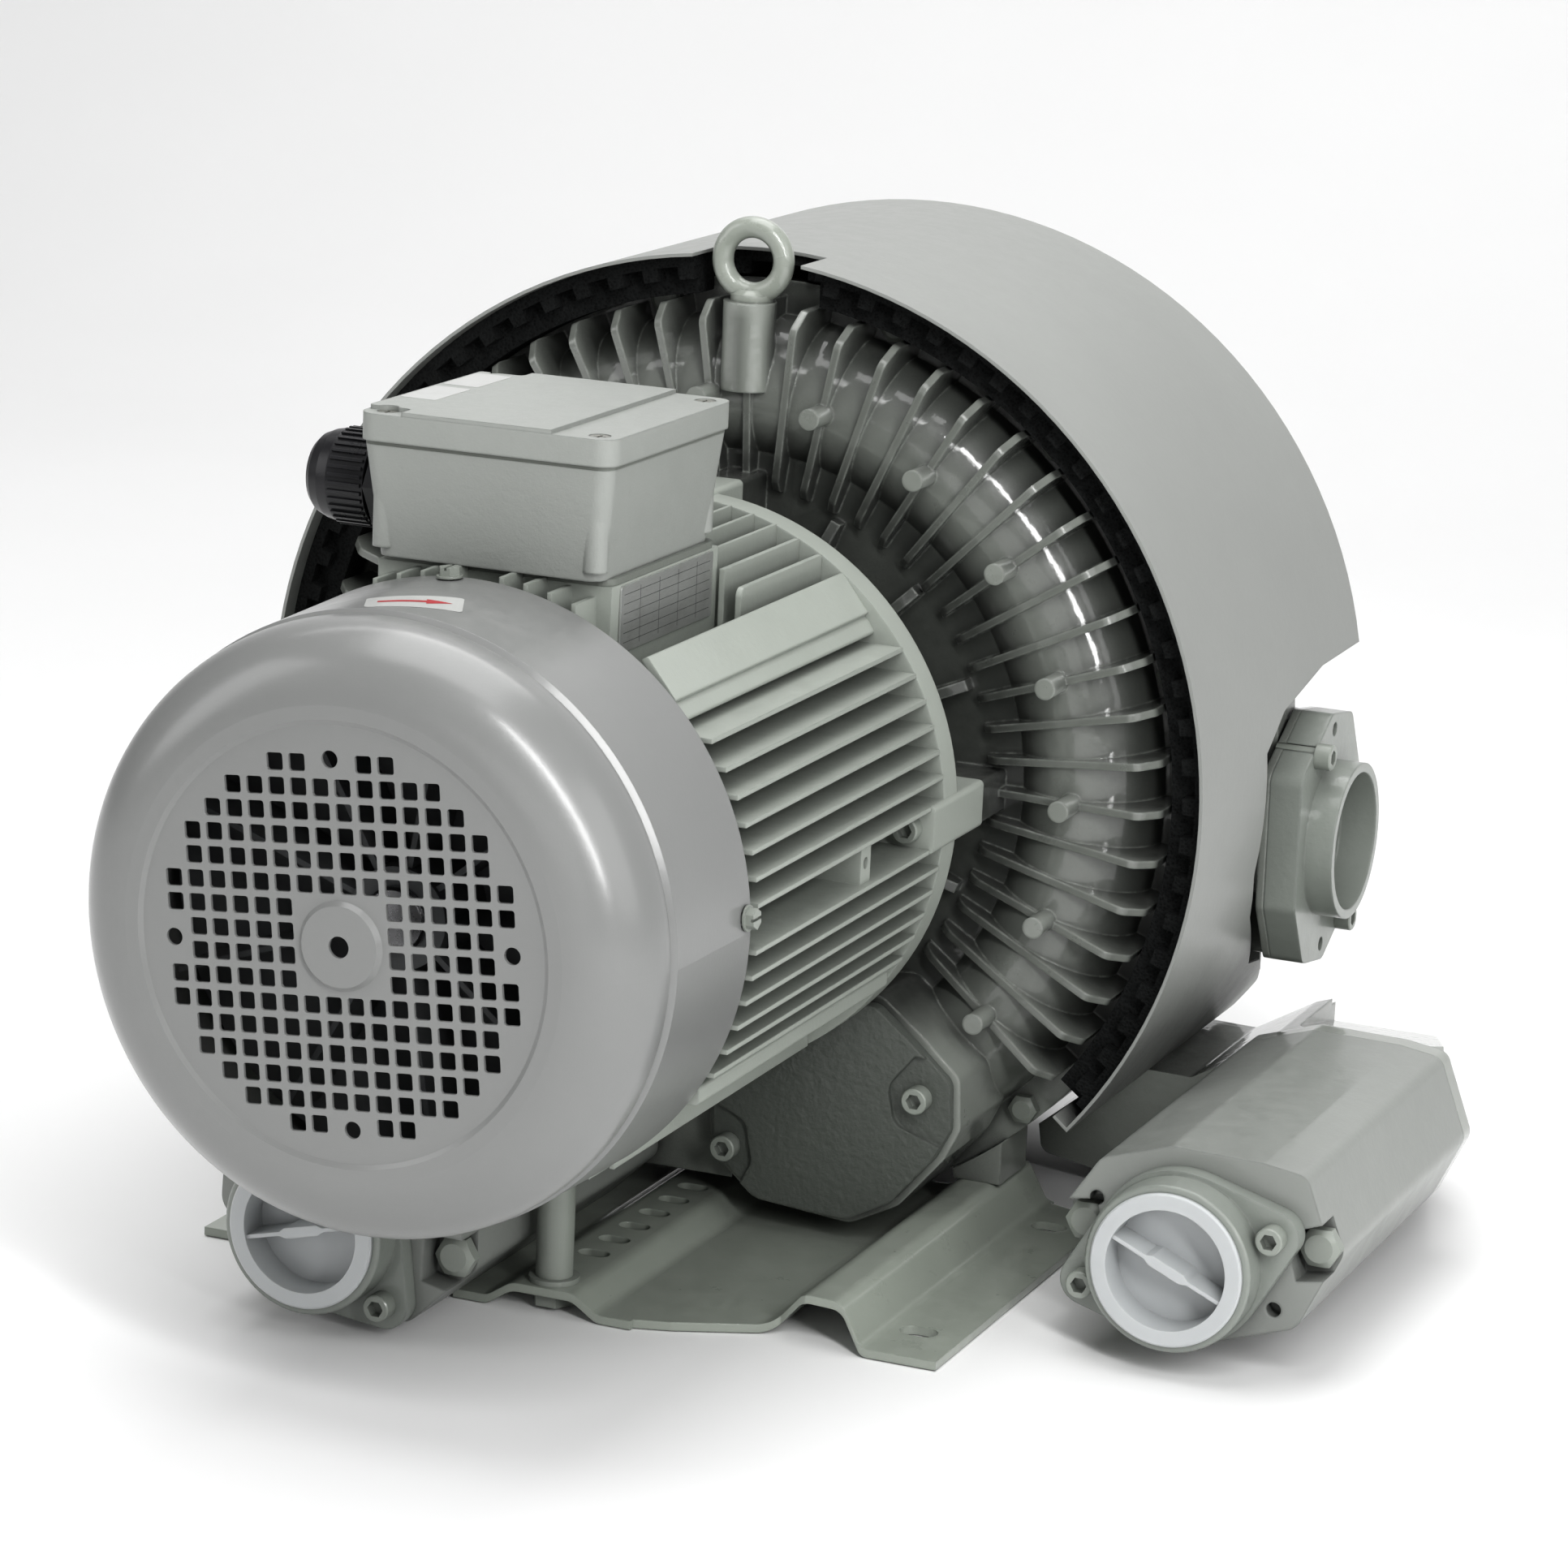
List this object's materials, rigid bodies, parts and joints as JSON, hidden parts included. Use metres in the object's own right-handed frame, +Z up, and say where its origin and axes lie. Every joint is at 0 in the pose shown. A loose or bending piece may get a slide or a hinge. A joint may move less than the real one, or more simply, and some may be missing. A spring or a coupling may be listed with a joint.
{
  "type": "side channel blower",
  "caption": "Side channel blower with a finned electric motor, terminal box, slotted base, ribbed casing under a noise hood, and silencers with plugged hose stubs.",
  "frame": {"origin": "centre of the slotted foot holes, on the floor plane under the base plate", "axes": "+Z up; +Y along the motor axis from the fan cowl towards the rear panel of the hood; +X to the right seen from the fan cowl, the side with the side port"},
  "size_m": [0.5773, 0.6236, 0.4717],
  "materials": {
    "grey_paint_cast": "satin",
    "grey_paint_sheet": "satin",
    "dark_grey_paint": "matte",
    "bare_aluminium": "satin",
    "zinc_steel": "satin",
    "painted_fastener": "satin",
    "shaft_steel": "satin",
    "lamination_steel": "matte",
    "copper_winding": "satin",
    "bearing_steel": "polished",
    "black_rubber": "matte",
    "black_plastic": "satin",
    "fan_plastic": "matte",
    "terminal_plastic": "matte",
    "white_plastic": "satin",
    "dark_foam": "matte",
    "absorber_felt": "matte",
    "plain_label": "satin"
  },
  "bodies": {
    "housing": {"base_plate": "grey_paint_sheet", "support_rod": "painted_fastener", "support_rod_washer": "painted_fastener", "support_rod_nut": "painted_fastener", "foot_brackets": "grey_paint_cast", "foot_bracket_bolts": "painted_fastener", "fan_cowl": "grey_paint_sheet", "fan_cowl_screws": "painted_fastener", "fan_end_shield": "grey_paint_cast", "motor_frame": "grey_paint_cast", "motor_drive_flange": "grey_paint_cast", "motor_flange_screws": "painted_fastener", "stator_core": "lamination_steel", "stator_winding": "copper_winding", "fan_bearing_outer_race": "bearing_steel", "drive_bearing_outer_race": "bearing_steel", "shaft_seal": "black_rubber", "terminal_box_gasket": "black_rubber", "terminal_box_body": "grey_paint_cast", "terminal_box_lid_gasket": "black_rubber", "terminal_box_lid": "grey_paint_cast", "terminal_box_lid_screws": "zinc_steel", "terminal_board_and_links": "terminal_plastic", "blank_rating_plate": "plain_label", "cable_gland_body": "black_plastic", "cable_gland_seal": "black_rubber", "cable_gland_nut": "black_plastic", "front_casing": "grey_paint_cast", "centre_casing": "grey_paint_cast", "rear_casing": "grey_paint_cast", "casing_tie_bolts_and_nuts": "painted_fastener", "blind_port_cover": "dark_grey_paint", "blind_port_cover_screws": "painted_fastener", "lifting_eye": "painted_fastener", "noise_hood": "grey_paint_sheet", "hood_foam_lining": "dark_foam", "hood_rear_panel": "grey_paint_sheet", "hood_panel_screws": "zinc_steel", "side_port_flange": "grey_paint_cast", "side_port_flange_screws": "painted_fastener", "inlet_silencer_body": "grey_paint_cast", "outlet_silencer_body": "grey_paint_cast", "silencer_port_flanges": "grey_paint_cast", "silencer_flange_screws": "painted_fastener", "silencer_long_bolts": "painted_fastener", "silencer_absorber_tubes": "absorber_felt", "outlet_duct": "grey_paint_cast"},
    "rotor": {"cooling_fan": "fan_plastic", "rotor_core": "lamination_steel", "rotor_shaft": "shaft_steel", "fan_bearing_inner_race_and_balls": "bearing_steel", "drive_bearing_inner_race_and_balls": "bearing_steel", "impeller_keys": "shaft_steel", "stage_one_impeller": "bare_aluminium", "stage_two_impeller": "bare_aluminium", "impeller_spacers": "shaft_steel", "impeller_end_washer": "shaft_steel", "impeller_nut": "shaft_steel"},
    "inlet_plug": {"inlet_transport_plug": "white_plastic"},
    "outlet_plug": {"outlet_transport_plug": "white_plastic"}
  },
  "joints": [
    {"name": "rotor_spin", "type": "hinge", "parent": "housing", "child": "rotor", "pos_m": [0, 0, 0.218], "axis": [0, 1, 0], "continuous": true},
    {"name": "inlet_plug_pull", "type": "slide", "parent": "housing", "child": "inlet_plug", "axis": [0, -1, 0], "range_m": [0, 0.06]},
    {"name": "outlet_plug_pull", "type": "slide", "parent": "housing", "child": "outlet_plug", "axis": [0, -1, 0], "range_m": [0, 0.06]}
  ]
}
